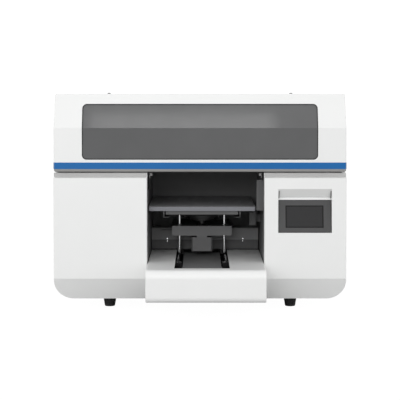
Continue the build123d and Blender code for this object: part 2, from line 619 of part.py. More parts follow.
with BuildPart() as idler_brackets:
    y0, y1 = depth(Y_IDLER_D - 8), depth(Y_IDLER_D + 8)
    block(Y_BELT_X - 9, Y_BELT_X - 6, y0, y1, DECK_Z, Y_BELT_Z + 8)
    block(Y_BELT_X + 6, Y_BELT_X + 9, y0, y1, DECK_Z, Y_BELT_Z + 8)
    block(Y_BELT_X - 9, Y_BELT_X + 9, y0, y1, DECK_Z, DECK_Z + 3)
    rod("X", (depth(Y_IDLER_D), Y_BELT_Z), 3.0 - SLIDE_FIT, Y_BELT_X - 9, Y_BELT_X + 9)
    x0, x1 = X_PULLEYS[1] - 8, X_PULLEYS[1] + 8
    block(x0, x1, depth(202), depth(BEAM_DEPTH), BEAM_Z + 50, X_BELT_Z + 8)
    block(x0, x1, depth(BEAM_DEPTH), depth(BEAM_DEPTH + 30), BEAM_Z + BEAM_SIZE, BEAM_Z + BEAM_SIZE + 3)
    block(x0, x1, depth(202), depth(BEAM_DEPTH), BEAM_Z + BEAM_SIZE, BEAM_Z + BEAM_SIZE + 3)
    rod("Y", (X_PULLEYS[1], X_BELT_Z), 3.0 - SLIDE_FIT, depth(X_BELT_D - 7), depth(203))
save(idler_brackets, "idler_brackets")

with BuildPart() as x_motor:
    add(motor("Y", (X_PULLEYS[0], X_BELT_Z + 1), depth(208), 44.0, 42.0))
    rod("Y", (X_PULLEYS[0], X_BELT_Z), 8.0, depth(200), depth(222), mode=Mode.SUBTRACT)
    block(X_PULLEYS[0] - 16, X_PULLEYS[0] + 21, depth(208), depth(252),
          BEAM_Z + BEAM_SIZE, X_BELT_Z - 20)
save(x_motor, "x_motor")

# ---------------------------------------------------------------- print carriage

CAR_W = 150.0
CAR_X0, CAR_X1 = PARK_X - CAR_W / 2, PARK_X + CAR_W / 2
CAR_FRONT, CAR_BACK = 90.0, 178.0
CAR_PLATE_Z = 385.0
HEAD_D0, HEAD_D1 = 105.0, 160.0
HEAD_SPACING = 38.0
HEAD_W = 27.0

with BuildPart() as rail_block:
    block(PARK_X - 40, PARK_X + 40, depth(CAR_BACK), depth(BEAM_DEPTH - 3), RAIL_Z - 10, RAIL_Z + 25)
    block(PARK_X - 41, PARK_X + 41, depth(RAIL_D - 0.3), depth(BEAM_DEPTH), RAIL_Z - 0.3,
          RAIL_Z + RAIL_SIZE + 0.3, mode=Mode.SUBTRACT)
save(rail_block, "rail_block")

with BuildPart() as carriage_plate:
    block(CAR_X0, CAR_X1, depth(CAR_BACK - 5), depth(CAR_BACK), CAR_PLATE_Z, X_BELT_Z - 4)
    block(CAR_X0, CAR_X1, depth(CAR_FRONT), depth(CAR_BACK - 5), CAR_PLATE_Z, CAR_PLATE_Z + 5)
    middle = (PARK_X, depth((HEAD_D0 + HEAD_D1) / 2), CAR_PLATE_Z)
    with Locations(middle):
        with GridLocations(HEAD_SPACING, 10, 3, 1):
            Box(HEAD_W + 0.4, HEAD_D1 - HEAD_D0 + 0.4, 20, mode=Mode.SUBTRACT)
    low = X_BELT_Z - PULLEY_R - 0.3 - BELT_T
    block(PARK_X - 12, PARK_X + 12, depth(CAR_BACK), depth(X_BELT_D + 5), low - 6, low + 8)
    block(PARK_X - 13, PARK_X + 13, depth(X_BELT_D - BELT_W / 2 - 0.6), depth(X_BELT_D + 6),
          low - 0.5, low + BELT_T + 0.5, mode=Mode.SUBTRACT)
save(carriage_plate, "carriage_plate")

with BuildPart() as print_heads:
    with Locations((PARK_X, depth((HEAD_D0 + HEAD_D1) / 2), 0)):
        with GridLocations(HEAD_SPACING, 10, 3, 1):
            with Locations((0, 0, HEADS_Z + 30)):
                Box(HEAD_W, HEAD_D1 - HEAD_D0, 60)
            with Locations((0, 0, CAR_PLATE_Z + 8)):
                Box(HEAD_W + 6, HEAD_D1 - HEAD_D0 + 6, 6)
save(print_heads, "print_heads")

with BuildPart() as carriage_cover:
    block(CAR_X0, CAR_X1, depth(CAR_FRONT), depth(CAR_BACK - 5), CAR_PLATE_Z + 5, 540)
    fillet(carriage_cover.edges().filter_by(Axis.X).sort_by(Axis.Z)[-2:].sort_by(Axis.Y)[0], 20)
    block(CAR_X0 + 2, CAR_X1 - 2, depth(CAR_FRONT + 2), depth(CAR_BACK - 5), CAR_PLATE_Z + 4, 518,
          mode=Mode.SUBTRACT)
save(carriage_cover, "carriage_cover")

with BuildPart() as uv_lamps:
    for side in (-1, 1):
        x0, x1 = sorted((PARK_X + side * CAR_W / 2, PARK_X + side * (CAR_W / 2 + 28)))
        block(x0, x1, depth(HEAD_D0), depth(HEAD_D1), HEADS_Z + 4, 450)
        for fin in range(6):
            z = 400 + 8 * fin
            block(x0 - 1, x1 + 1, depth(HEAD_D0 - 1), depth(HEAD_D0 + 5), z, z + 4, Mode.SUBTRACT)
save(uv_lamps, "uv_lamps")

# ---------------------------------------------------------------- service parts

with BuildPart() as capping_station:
    block(PARK_X - 60, PARK_X + 60, depth(100), depth(165), 330, 362)
    with Locations((PARK_X, depth((HEAD_D0 + HEAD_D1) / 2), 362)):
        with GridLocations(HEAD_SPACING, 10, 3, 1):
            Box(HEAD_W - 2, 48, 16)
            Box(HEAD_W - 6, 44, 18, mode=Mode.SUBTRACT)
    block(PARK_X - 40, PARK_X + 40, depth(120), depth(124), PAN_Z, 330)
    block(PARK_X - 78, PARK_X - 60, depth(110), depth(155), 345, 350)
    block(PARK_X - 73, PARK_X - 71, depth(112), depth(153), 350, HEADS_Z - 1)
save(capping_station, "capping_station")

with BuildPart() as waste_bottle:
    block(220, 320, depth(290), depth(390), PAN_Z, PAN_Z + 120)
    fillet(waste_bottle.edges(), 8)
    rod("Z", (270, depth(340)), 20, PAN_Z + 120, PAN_Z + 140)
save(waste_bottle, "waste_bottle")

BOTTLE_R = 24.0
BOTTLE_PITCH = 54.0
RACK_X, RACK_D = -260.0, 400.0

with BuildPart() as ink_supply:
    block(RACK_X - 56, RACK_X + 56, depth(RACK_D - 83), depth(RACK_D + 83), PAN_Z, PAN_Z + 60)
    with Locations((RACK_X, depth(RACK_D), PAN_Z + 33)):
        with GridLocations(BOTTLE_PITCH, BOTTLE_PITCH, 2, 3):
            Cylinder(BOTTLE_R + 0.3, 60, mode=Mode.SUBTRACT)
    with Locations((RACK_X, depth(RACK_D), 0)):
        with GridLocations(BOTTLE_PITCH, BOTTLE_PITCH, 2, 3):
            with Locations((0, 0, PAN_Z + 3.3 + 60)):
                Cylinder(BOTTLE_R, 120)
            with Locations((0, 0, PAN_Z + 3 + 132)):
                Cylinder(12, 24)
save(ink_supply, "ink_supply")

with BuildPart() as power_supply:
    block(-320, -210, depth(110), depth(205), PAN_Z, PAN_Z + 50)
    chamfer(power_supply.edges().filter_by(Axis.Z), 1)
save(power_supply, "power_supply")

with BuildPart() as main_board:
    block(210, 330, depth(560), depth(561.6), 120, 300)
    for x, z, w, h in ((240, 260, 30, 30), (290, 250, 40, 20), (260, 170, 60, 30), (310, 200, 14, 60)):
        block(x - w / 2, x + w / 2, depth(555), depth(560), z - h / 2, z + h / 2)
    block(215, 325, depth(561.6), depth(563.6), PAN_Z, 130)
save(main_board, "main_board")

FAN_SIZE = 120.0
FAN_BACK = REAR - 2 * SHEET
FAN_DEPTH = 25.0

with BuildPart() as fan_frame:
    x0, x1 = FAN_X - FAN_SIZE / 2, FAN_X + FAN_SIZE / 2
    z0, z1 = FAN_Z - FAN_SIZE / 2, FAN_Z + FAN_SIZE / 2
    block(x0, x1, FAN_BACK - FAN_DEPTH, FAN_BACK, z0, z1)
    fillet(fan_frame.edges().filter_by(Axis.Y), 6)
    rod("Y", (FAN_X, FAN_Z), FAN_R, FAN_BACK - FAN_DEPTH - 1, FAN_BACK + 1, mode=Mode.SUBTRACT)
    block(x0 + 2, x1 - 2, FAN_BACK - FAN_DEPTH, FAN_BACK - FAN_DEPTH + 3, FAN_Z - 4, FAN_Z + 4)
    block(FAN_X - 4, FAN_X + 4, FAN_BACK - FAN_DEPTH, FAN_BACK - FAN_DEPTH + 3, z0 + 2, z1 - 2)
    rod("Y", (FAN_X, FAN_Z), 20.0, FAN_BACK - FAN_DEPTH, FAN_BACK - FAN_DEPTH + 3)
    rod("Y", (FAN_X, FAN_Z), 3.0, FAN_BACK - FAN_DEPTH + 3, FAN_BACK - 5)
    with BuildSketch(Plane.XZ.offset(-(REAR - SHEET))):
        with Locations((FAN_X, FAN_Z)):
            for radius in (14, 26, 38, 50):
                Circle(radius + 1.2)
                Circle(radius - 1.2, mode=Mode.SUBTRACT)
            for angle in (45, 135):
                with Locations(Location((0, 0), angle)):
                    Rectangle(146, 3)
    extrude(amount=-SHEET + 0.2)
save(fan_frame, "fan_frame")

BLADES = 7

with BuildPart() as fan_rotor:
    y0, y1 = FAN_BACK - FAN_DEPTH + 4, FAN_BACK - 3
    rod("Y", (FAN_X, FAN_Z), 21.0, y0, y1)
    for turn in range(BLADES):
        with BuildSketch(Plane.YZ.offset(18)) as section:
            with Locations(Location(((y0 + y1) / 2, 0), -38)):
                Ellipse(9.5, 1.3)
        blade = extrude(amount=34, mode=Mode.PRIVATE)
        add(blade.rotate(Axis.Y, 360 * turn / BLADES).moved(Location((FAN_X, 0, FAN_Z))))
    rod("Y", (FAN_X, FAN_Z), 3.0 + SLIDE_FIT, y0 - 1, y1 - 2, mode=Mode.SUBTRACT)
save(fan_rotor, "fan_rotor")

ROCKER_Y = REAR - 9.0

with BuildPart() as power_entry:
    block(INLET_X - 14, INLET_X + 14, REAR - 25, REAR - 2.5, INLET_Z - 10, INLET_Z + 10)
    block(INLET_X - 25, INLET_X + 25, REAR - SHEET, REAR - 0.2, INLET_Z - 12, INLET_Z + 12)
    block(INLET_X - 11.5, INLET_X + 11.5, REAR - 20, REAR + 1, INLET_Z - 7.5, INLET_Z + 7.5,
          mode=Mode.SUBTRACT)
    for x in (-7, 0, 7):
        block(INLET_X + x - 1, INLET_X + x + 1, REAR - 20, REAR - 6, INLET_Z - 2, INLET_Z + 2)
    block(SWITCH_X - 10, SWITCH_X + 10, REAR - 24, REAR - SHEET, INLET_Z - 14, INLET_Z + 14)
    block(SWITCH_X - 12, SWITCH_X + 12, REAR - SHEET, REAR - 0.6, INLET_Z - 16, INLET_Z + 16)
    block(SWITCH_X - 7, SWITCH_X + 7, REAR - 20, REAR + 1, INLET_Z - 12, INLET_Z + 12,
          mode=Mode.SUBTRACT)
    rod("X", (ROCKER_Y, INLET_Z), 1.5, SWITCH_X - 8, SWITCH_X + 8)
save(power_entry, "power_entry")

with BuildPart() as power_switch:
    with BuildSketch(Plane.YZ.offset(SWITCH_X - 6.7)):
        with BuildLine():
            Polyline(
                (ROCKER_Y - 3, INLET_Z - 5),
                (ROCKER_Y + 6.2, INLET_Z - 10.6),
                (ROCKER_Y + 5.2, INLET_Z),
                (ROCKER_Y + 6.2, INLET_Z + 10.6),
                (ROCKER_Y - 3, INLET_Z + 5),
                close=True,
            )
        make_face()
    extrude(amount=13.4)
    rod("X", (ROCKER_Y, INLET_Z), 1.5 + SLIDE_FIT, SWITCH_X - 8, SWITCH_X + 8, Mode.SUBTRACT)
save(power_switch, "power_switch")

# ---------------------------------------------------------------- lid

LID_HALF_W = 439.0
LID_FRONT = FRONT + 1.0
LID_BACK = REAR - 16.0
LIP_TOP_Z = 433.0
STRIPE_TOP_Z = 452.5
STRIPE_T = 0.8
WINDOW_HALF_W = 354.0
WINDOW_LOW_Z, WINDOW_HIGH_Z = 461.0, 628.0
WINDOW_R = 14.0
GASKET_W = 3.0
PANE_T = 3.0
BOLT_X, BOLT_D = 299.0, 400.0


def lid_form(inset):
    """The lid's closed outer form, shrunk by inset, with its edges rounded."""
    with BuildPart() as form:
        with BuildSketch(Plane.YZ.offset(-LID_HALF_W + inset)) as side:
            with BuildLine():
                Polyline(
                    (LID_FRONT, LIP_TOP_Z),
                    (LID_FRONT, CREASE_Z),
                    (LID_FRONT + LID_LEAN, LID_TOP_Z),
                    (LID_BACK, LID_TOP_Z),
                    (LID_BACK, LIP_TOP_Z),
                    close=True,
                )
            make_face()
            top = side.vertices().group_by(Axis.Y)[-1].sort_by(Axis.X)
            fillet(top[0], 5.0)
            fillet(top[-1], 12.0)
            if inset:
                offset(amount=-inset, kind=Kind.INTERSECTION)
        extrude(amount=2 * (LID_HALF_W - inset))
        if not inset:
            for end in (0, -1):
                rounded = form.faces().sort_by(Axis.X)[end].edges().filter_by(
                    lambda edge: edge.center().Z > LIP_TOP_Z + 1 and edge.center().Y < LID_BACK - 1)
                fillet(rounded, 4.0)
    return form.part


def window_outline(shrink):
    """A bar along Y with the window's rounded outline, shrunk on every side."""
    with BuildPart() as bar:
        with BuildSketch(Plane.XZ.offset(-depth(-5))):
            with Locations((0, (WINDOW_LOW_Z + WINDOW_HIGH_Z) / 2)):
                RectangleRounded(
                    2 * (WINDOW_HALF_W - shrink),
                    WINDOW_HIGH_Z - WINDOW_LOW_Z - 2 * shrink,
                    WINDOW_R - shrink,
                )
        extrude(amount=-60)
    return bar.part


def lid_skin(outer, inner):
    """A bent layer under the lid's front, from outer to inner millimetres below its surface."""
    with BuildPart() as skin:
        for inset, mode in ((outer, Mode.ADD), (inner, Mode.SUBTRACT)):
            with BuildSketch(Plane.YZ.offset(-WINDOW_HALF_W - 10)):
                with BuildLine():
                    Polyline(
                        (LID_FRONT, LIP_TOP_Z),
                        (LID_FRONT, CREASE_Z),
                        (LID_FRONT + LID_LEAN, LID_TOP_Z),
                        (LID_BACK, LID_TOP_Z),
                        (LID_BACK, LIP_TOP_Z),
                        close=True,
                    )
                make_face()
                offset(amount=-inset, kind=Kind.INTERSECTION)
            extrude(amount=2 * WINDOW_HALF_W + 20, mode=mode)
    return skin.part


with BuildPart() as lid_shell:
    add(lid_form(0))
    add(lid_form(SHEET), mode=Mode.SUBTRACT)
    block(-LID_HALF_W + SHEET, LID_HALF_W - SHEET, LID_FRONT + SHEET, LID_BACK - SHEET,
          LIP_TOP_Z - 1, LIP_TOP_Z + 3 * SHEET, mode=Mode.SUBTRACT)
    add(window_outline(0), mode=Mode.SUBTRACT)
    for x in (-BOLT_X, BOLT_X):
        rod("Z", (x, depth(BOLT_D)), 3.2, LID_TOP_Z - 5, LID_TOP_Z + 1, mode=Mode.SUBTRACT)
save(lid_shell, "lid_shell")

with BuildPart() as lid_window:
    add(lid_skin(0.6, 0.6 + PANE_T))
    add(window_outline(GASKET_W), mode=Mode.INTERSECT)
save(lid_window, "lid_window")

with BuildPart() as window_gasket:
    add(lid_skin(-0.4, PANE_T + 1.5))
    add(window_outline(0), mode=Mode.INTERSECT)
    add(window_outline(GASKET_W), mode=Mode.SUBTRACT)
save(window_gasket, "window_gasket")

with BuildPart() as blue_stripe:
    block(-LID_HALF_W - STRIPE_T, LID_HALF_W + STRIPE_T, LID_FRONT - STRIPE_T, LID_BACK,
          LIP_TOP_Z, STRIPE_TOP_Z)
    front = blue_stripe.faces().sort_by(Axis.Y)[0].edges().filter_by(Axis.Z)
    fillet(front, 4.0 + STRIPE_T)
    block(-LID_HALF_W, LID_HALF_W, LID_FRONT, LID_BACK + 1, LIP_TOP_Z - 1, STRIPE_TOP_Z + 1,
          mode=Mode.SUBTRACT)
save(blue_stripe, "blue_stripe")

with BuildPart() as lid_lip:
    block(-LID_HALF_W + 0.5, LID_HALF_W - 0.5, LID_FRONT + 0.5, LID_BACK, LID_Z, LIP_TOP_Z)
    upright = lid_lip.faces().sort_by(Axis.Y)[0].edges().filter_by(Axis.Z)
    fillet(upright, 4.0)
    under = lid_lip.faces().sort_by(Axis.Z)[0].outer_wire().edges().filter_by(
        lambda edge: edge.center().Y < LID_BACK - 1)
    fillet(under, 6.0)
    block(-LID_HALF_W + 11, LID_HALF_W - 11, LID_FRONT + 11, LID_BACK - 10, LID_Z - 1,
          LIP_TOP_Z + 1, mode=Mode.SUBTRACT)
save(lid_lip, "lid_lip")

with BuildPart() as lid_bolts:
    for x in (-BOLT_X, BOLT_X):
        rod("Z", (x, depth(BOLT_D)), 5.25, LID_TOP_Z, LID_TOP_Z + 3)
    fillet(lid_bolts.edges().filter_by(GeomType.CIRCLE).group_by(Axis.Z)[-1], 2.0)
    for x in (-BOLT_X, BOLT_X):
        rod("Z", (x, depth(BOLT_D)), 3.0, LID_TOP_Z - 8, LID_TOP_Z)
        with BuildSketch(Plane.XY.offset(LID_TOP_Z + 1.2)):
            with Locations((x, depth(BOLT_D))):
                RegularPolygon(1.9, 6)
        extrude(amount=3, mode=Mode.SUBTRACT)
save(lid_bolts, "lid_bolts")

LEAF_HALF_W = 38.0
KNUCKLE_HALF_W = 20.0
PIN_R = 3.0

with BuildPart() as hinge_base_leaves:
    for x in (-HINGE_X, HINGE_X):
        block(x - LEAF_HALF_W, x + LEAF_HALF_W, HINGE_Y - 8, REAR, RIM_Z, RIM_Z + 2)
        for side in (-1, 1):
            x0, x1 = sorted((x + side * (KNUCKLE_HALF_W + 0.5), x + side * LEAF_HALF_W))
            rod("X", (HINGE_Y, HINGE_Z), HINGE_R, x0, x1)
            block(x0, x1, HINGE_Y - 4, HINGE_Y + 4, RIM_Z + 2, HINGE_Z)
        rod("X", (HINGE_Y, HINGE_Z), PIN_R, x - LEAF_HALF_W, x + LEAF_HALF_W)
save(hinge_base_leaves, "hinge_base_leaves")

with BuildPart() as hinge_lid_leaves:
    for x in (-HINGE_X, HINGE_X):
        rod("X", (HINGE_Y, HINGE_Z), HINGE_R, x - KNUCKLE_HALF_W, x + KNUCKLE_HALF_W)
        block(x - KNUCKLE_HALF_W, x + KNUCKLE_HALF_W, LID_BACK, LID_BACK + 2, LIP_TOP_Z, 475)
        block(x - KNUCKLE_HALF_W, x + KNUCKLE_HALF_W, LID_BACK, HINGE_Y, LIP_TOP_Z, HINGE_Z + 5)
        rod("X", (HINGE_Y, HINGE_Z), PIN_R + SLIDE_FIT, x - 21, x + 21, mode=Mode.SUBTRACT)
save(hinge_lid_leaves, "hinge_lid_leaves")
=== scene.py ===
import json
import math

import bmesh
import bpy
from mathutils import Matrix, Vector


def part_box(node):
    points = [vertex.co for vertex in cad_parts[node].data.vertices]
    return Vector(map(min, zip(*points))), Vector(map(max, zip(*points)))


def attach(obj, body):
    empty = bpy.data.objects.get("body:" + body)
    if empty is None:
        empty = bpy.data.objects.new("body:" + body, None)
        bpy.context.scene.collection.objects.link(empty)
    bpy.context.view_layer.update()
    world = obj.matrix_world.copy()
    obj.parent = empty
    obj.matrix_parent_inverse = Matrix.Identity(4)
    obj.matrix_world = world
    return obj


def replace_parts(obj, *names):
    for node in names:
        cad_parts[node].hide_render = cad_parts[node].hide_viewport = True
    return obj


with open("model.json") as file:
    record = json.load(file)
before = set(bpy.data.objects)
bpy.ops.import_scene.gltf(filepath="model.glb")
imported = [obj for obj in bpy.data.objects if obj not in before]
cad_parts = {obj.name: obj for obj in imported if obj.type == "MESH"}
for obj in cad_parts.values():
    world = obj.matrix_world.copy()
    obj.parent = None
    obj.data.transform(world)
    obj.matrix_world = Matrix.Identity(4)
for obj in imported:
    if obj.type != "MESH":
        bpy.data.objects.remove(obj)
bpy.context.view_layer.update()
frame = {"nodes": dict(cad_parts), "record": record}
nodes = frame["nodes"]
scene = bpy.context.scene
MM = 0.001


# ---------------------------------------------------------------- camera, floor and lights

FRONT_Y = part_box("left_housing")[0].y
LID_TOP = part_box("lid_shell")[1].z
CAMERA_DISTANCE = 4.0  # from the housings' front face
CAMERA_RISE = 0.009  # above the lid's top
CAMERA_TILT = math.radians(2.3)
CAMERA_SHIFT = -0.1385
CAMERA_LENS = 120.3


def make_camera():
    """A long lens at the height of the lid's top, looking slightly down."""
    data = bpy.data.cameras.new("camera")
    data.lens = CAMERA_LENS
    data.sensor_width = 36.0
    data.shift_y = CAMERA_SHIFT
    camera = bpy.data.objects.new("camera", data)
    camera.location = (0.0, FRONT_Y - CAMERA_DISTANCE, LID_TOP + CAMERA_RISE)
    camera.rotation_euler = (math.pi / 2 - CAMERA_TILT, 0.0, 0.0)
    scene.collection.objects.link(camera)
    scene.camera = camera


def tree_of(material):
    """Nodes, links and the Principled shader of a fresh node material."""
    material.use_nodes = True
    tree = material.node_tree
    return tree.nodes, tree.links, tree.nodes["Principled BSDF"]


def camera_switch(graph, links, seen, unseen, target):
    """Join two shaders to target: the first is what the camera meets, the second lights the rest."""
    path = graph.new("ShaderNodeLightPath")
    mix = graph.new("ShaderNodeMixShader")
    links.new(path.outputs["Is Camera Ray"], mix.inputs["Fac"])
    links.new(unseen, mix.inputs[1])
    links.new(seen, mix.inputs[2])
    links.new(mix.outputs["Shader"], target)


FLOOR_RADIUS = 30.0
FLOOR_BOUNCE = 0.54  # share of the light that the floor throws back at the model
FLOOR_GLOW = 0.985  # how bright the floor looks to the camera


def matte(shader, level):
    """Give a shader a dull grey of this level."""
    shader.inputs["Base Color"].default_value = (level, level, level, 1)
    shader.inputs["Roughness"].default_value = 0.9
    shader.inputs["Specular IOR Level"].default_value = 0.0


def make_stage():
    """A white floor that throws little light back up, as on a studio table."""
    mesh = bpy.data.meshes.new("studio_floor")
    floor = bmesh.new()
    bmesh.ops.create_circle(floor, cap_ends=True, segments=96, radius=FLOOR_RADIUS)
    floor.to_mesh(mesh)
    floor.free()
    sheet = bpy.data.objects.new("studio_floor", mesh)
    scene.collection.objects.link(sheet)
    material = bpy.data.materials.new("studio_white")
    graph, links, shader = tree_of(material)
    matte(shader, FLOOR_BOUNCE)
    seen = graph.new("ShaderNodeBsdfPrincipled")
    matte(seen, 0.05)
    seen.inputs["Emission Color"].default_value = (1, 1, 1, 1)
    seen.inputs["Emission Strength"].default_value = FLOOR_GLOW
    surface = graph["Material Output"].inputs["Surface"]
    camera_switch(graph, links, seen.outputs["BSDF"], shader.outputs["BSDF"], surface)
    mesh.materials.append(material)


def area_light(name, place, target, size, power):
    """A soft rectangular lamp at place, facing target."""
    data = bpy.data.lights.new(name, "AREA")
    data.shape = "RECTANGLE"
    data.size, data.size_y = size
    data.energy = power
    lamp = bpy.data.objects.new(name, data)
    lamp.location = place
    aim = Vector(target) - Vector(place)
    lamp.rotation_euler = aim.to_track_quat("-Z", "Y").to_euler()
    scene.collection.objects.link(lamp)


SKY = 1.33  # brightness of the surroundings low in the sky
GROUND = 0.47  # and below the horizon
OVERHEAD_LOSS = 0.66  # how much dimmer the sky is overhead
BACKDROP = 1.2  # brightness of the surroundings as the camera sees them

# Lamps: name, place, target, size and watts
LAMPS = (
    ("front_fill", (-1.0, -4.0, 1.35), (0.0, FRONT_Y, 0.35), (1.3, 1.0), 20),
    ("window_band", (-0.11, -3.95, 3.13), (-0.11, FRONT_Y, 0.58), (1.18, 0.60), 5.4),
)


def ramp_of(graph, links, value, start, stop, low, high):
    """A number that climbs smoothly from low to high while value goes from start to stop."""
    ranged = graph.new("ShaderNodeMapRange")
    ranged.interpolation_type = "SMOOTHSTEP"
    ranged.inputs["From Min"].default_value = start
    ranged.inputs["From Max"].default_value = stop
    ranged.inputs["To Min"].default_value = low
    ranged.inputs["To Max"].default_value = high
    links.new(value, ranged.inputs["Value"])
    return ranged.outputs["Result"]


def make_lights():
    """A bright sky over darker ground, a weak lamp by the camera, and one seen in the window."""
    world = bpy.data.worlds.new("studio")
    scene.world = world
    world.use_nodes = True
    graph, links = world.node_tree.nodes, world.node_tree.links
    around = graph["Background"]
    heading = graph.new("ShaderNodeSeparateXYZ")
    links.new(graph.new("ShaderNodeTexCoord").outputs["Generated"], heading.inputs["Vector"])
    level = ramp_of(graph, links, heading.outputs["Z"], -0.20, 0.12, GROUND, SKY)
    loss = ramp_of(graph, links, heading.outputs["Z"], 0.50, 0.95, 0.0, OVERHEAD_LOSS)
    rest = graph.new("ShaderNodeMath")
    rest.operation = "SUBTRACT"
    links.new(level, rest.inputs[0])
    links.new(loss, rest.inputs[1])
    links.new(rest.outputs["Value"], around.inputs["Strength"])
    around.inputs["Color"].default_value = (1, 1, 1, 1)
    plain = graph.new("ShaderNodeBackground")
    plain.inputs["Color"].default_value = (1, 1, 1, 1)
    plain.inputs["Strength"].default_value = BACKDROP
    surface = graph["World Output"].inputs["Surface"]
    camera_switch(graph, links, plain.outputs["Background"], around.outputs["Background"], surface)
    for lamp in LAMPS:
        area_light(*lamp)


make_camera()
make_stage()
make_lights()
scene.view_settings.view_transform = "Standard"


# ---------------------------------------------------------------- materials

def noise(graph, links, coordinates, size, detail, stretch=(1, 1, 1)):
    """Noise whose features are about size metres, stretched along an axis if asked."""
    mapping = graph.new("ShaderNodeMapping")
    mapping.inputs["Scale"].default_value = stretch
    links.new(coordinates, mapping.inputs["Vector"])
    texture = graph.new("ShaderNodeTexNoise")
    texture.inputs["Scale"].default_value = 1.0 / size
    texture.inputs["Detail"].default_value = detail
    links.new(mapping.outputs["Vector"], texture.inputs["Vector"])
    return texture.outputs["Fac"]


def between(graph, links, factor, low, high):
    """A number that follows a 0 to 1 texture from low to high."""
    ranged = graph.new("ShaderNodeMapRange")
    ranged.inputs["From Min"].default_value = 0.3
    ranged.inputs["From Max"].default_value = 0.7
    ranged.inputs["To Min"].default_value = low
    ranged.inputs["To Max"].default_value = high
    links.new(factor, ranged.inputs["Value"])
    return ranged.outputs["Result"]


def shades(graph, links, factor, color, spread):
    """A colour that wanders by spread around color."""
    ramp = graph.new("ShaderNodeValToRGB")
    for element, scale in zip(ramp.color_ramp.elements, (1 - spread, 1 + spread)):
        element.color = (*[min(1.0, c * scale) for c in color], 1)
    ramp.color_ramp.elements[0].position = 0.3
    ramp.color_ramp.elements[1].position = 0.7
    links.new(factor, ramp.inputs["Fac"])
    return ramp.outputs["Color"]


def finish_material(name, color, rough, grain, bump, spread=0.03, metallic=0.0, stretch=(1, 1, 1),
                    coat=0.0, cloud=0.12, rough_spread=0.05, **sockets):
    """A surface with a fine bump, clouded colour and uneven gloss, all from noise."""
    material = bpy.data.materials.new(name)
    graph, links, shader = tree_of(material)
    coordinates = graph.new("ShaderNodeTexCoord").outputs["Object"]
    clouds = noise(graph, links, coordinates, cloud, 4.0)
    fine = noise(graph, links, coordinates, grain, 2.0, stretch)
    links.new(shades(graph, links, clouds, color, spread), shader.inputs["Base Color"])
    gloss = between(graph, links, fine, rough - rough_spread, rough + rough_spread)
    links.new(gloss, shader.inputs["Roughness"])
    shader.inputs["Metallic"].default_value = metallic
    shader.inputs["Coat Weight"].default_value = coat
    shader.inputs["Coat Roughness"].default_value = 0.12
    relief = graph.new("ShaderNodeBump")
    relief.inputs["Strength"].default_value = bump
    relief.inputs["Distance"].default_value = grain * 0.2
    links.new(fine, relief.inputs["Height"])
    links.new(relief.outputs["Normal"], shader.inputs["Normal"])
    for socket, value in sockets.items():
        shader.inputs[socket.replace("_", " ")].default_value = value
    return material


def smoked_acrylic():
    """Dark see-through sheet with a polished face."""
    material = finish_material("smoked_acrylic", (0.118, 0.119, 0.121), 0.07, 0.02, 0.004, 0.04,
                               rough_spread=0.02)
    shader = material.node_tree.nodes["Principled BSDF"]
    shader.inputs["Alpha"].default_value = 0.9
    shader.inputs["IOR"].default_value = 1.49
    return material


